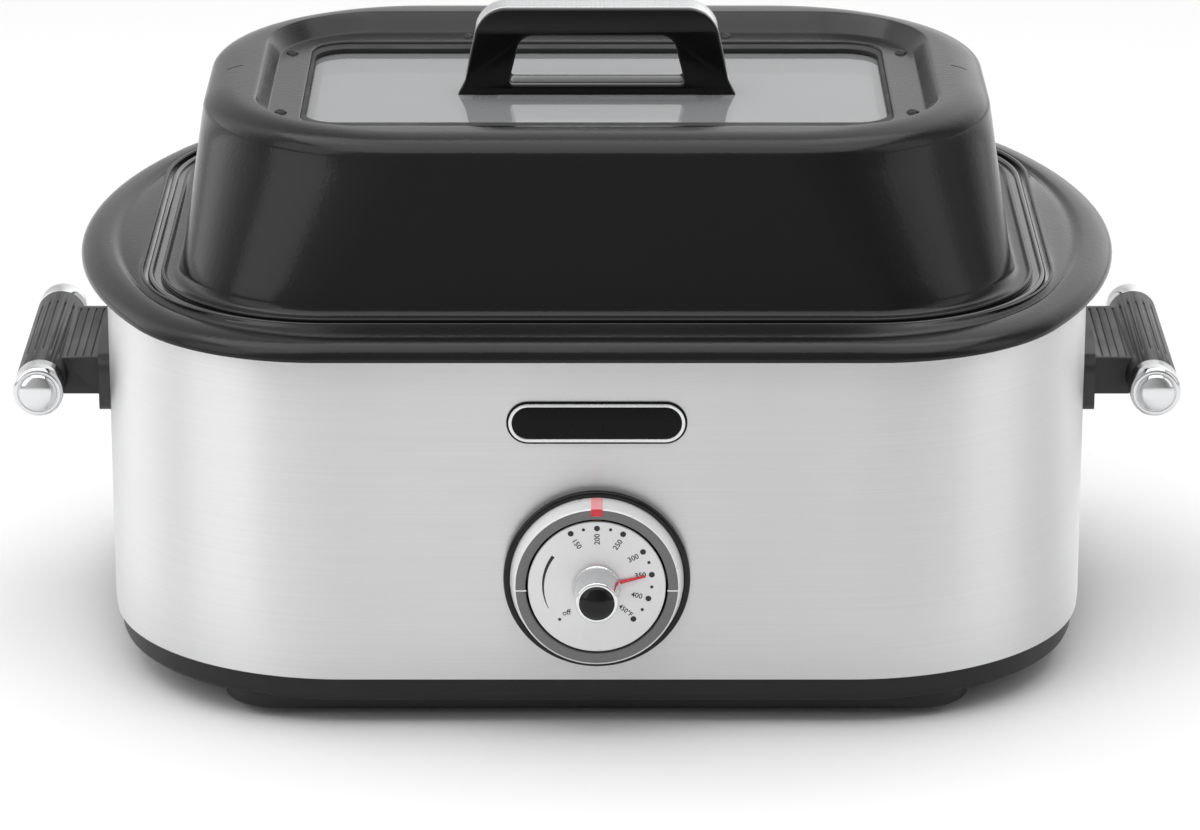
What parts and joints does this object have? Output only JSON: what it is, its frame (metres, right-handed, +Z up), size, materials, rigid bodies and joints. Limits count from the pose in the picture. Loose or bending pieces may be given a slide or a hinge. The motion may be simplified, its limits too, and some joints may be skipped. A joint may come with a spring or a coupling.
{
  "type": "electric roaster oven",
  "caption": "Electric roaster oven with a steel-wrapped body, lift-out pan, wire rack, front dial, side grips and a lift-off domed lid with a window.",
  "frame": {"origin": "on the table, under the middle of the whole object's box", "axes": "+Z up, -Y towards the front with the dial, +X to the right seen from the front (the long way)"},
  "size_m": [0.6196, 0.4742, 0.3307],
  "materials": {
    "steel": "brushed",
    "enamel": "satin",
    "pan_enamel": "gloss",
    "base_paint": "satin",
    "well_metal": "satin",
    "zinc": "satin",
    "chrome": "polished",
    "brass": "satin",
    "black_gloss": "gloss",
    "grip_plastic": "matte",
    "ring_grey": "satin",
    "plate_grey": "satin",
    "red": "gloss",
    "lamp_glass": "clear",
    "glass": "clear",
    "rubber": "matte",
    "fibre": "matte",
    "ceramic": "matte"
  },
  "bodies": {
    "oven": {"base_pan": "base_paint", "bottom_cover": "base_paint", "feet": "rubber", "cover_screws": "zinc", "outer_shell": "steel", "top_collar": "enamel", "heating_well": "well_metal", "band_heater": "zinc", "insulation_blanket": "fibre", "support_posts": "zinc", "thermostat": "ceramic", "thermostat_bracket": "zinc", "terminal_block": "ceramic", "cord_gland": "rubber", "gland_nut": "grip_plastic", "dial_bezel": "black_gloss", "dial_drum": "chrome", "dial_ring": "ring_grey", "dial_plate": "plate_grey", "bushing_nut": "brass", "indicator_lens": "red", "indicator_lamp": "lamp_glass", "badge": "black_gloss", "badge_rim": "chrome", "left_handle": "grip_plastic", "right_handle": "grip_plastic", "left_handle_ends": "chrome", "right_handle_ends": "chrome", "handle_bolts": "zinc"},
    "knob": {"control_shaft": "zinc", "knob": "chrome", "knob_cap": "black_gloss", "pointer": "red"},
    "pan": {"cook_pan": "pan_enamel"},
    "rack": {"roasting_rack": "chrome", "rack_loops": "chrome"},
    "lid": {"lid_shell": "enamel", "window_glass": "glass", "window_seal": "rubber", "window_frame": "enamel", "lid_rivets": "black_gloss", "lid_handle": "black_gloss", "handle_trim": "chrome", "handle_screws": "zinc", "handle_washers": "rubber"}
  },
  "joints": [
    {"name": "knob_turn", "type": "hinge", "parent": "oven", "child": "knob", "pos_m": [0, -0.2099, 0.084], "axis": [0, -1, 0], "range_deg": [-58, 210]},
    {"name": "pan_lift", "type": "slide", "parent": "oven", "child": "pan", "axis": [0, 0, 1], "range_m": [0, 0.2]},
    {"name": "lid_lift", "type": "slide", "parent": "pan", "child": "lid", "axis": [0, 0, 1], "range_m": [0, 0.25]},
    {"name": "rack_lift", "type": "slide", "parent": "pan", "child": "rack", "axis": [0, 0, 1], "range_m": [0, 0.1]}
  ]
}
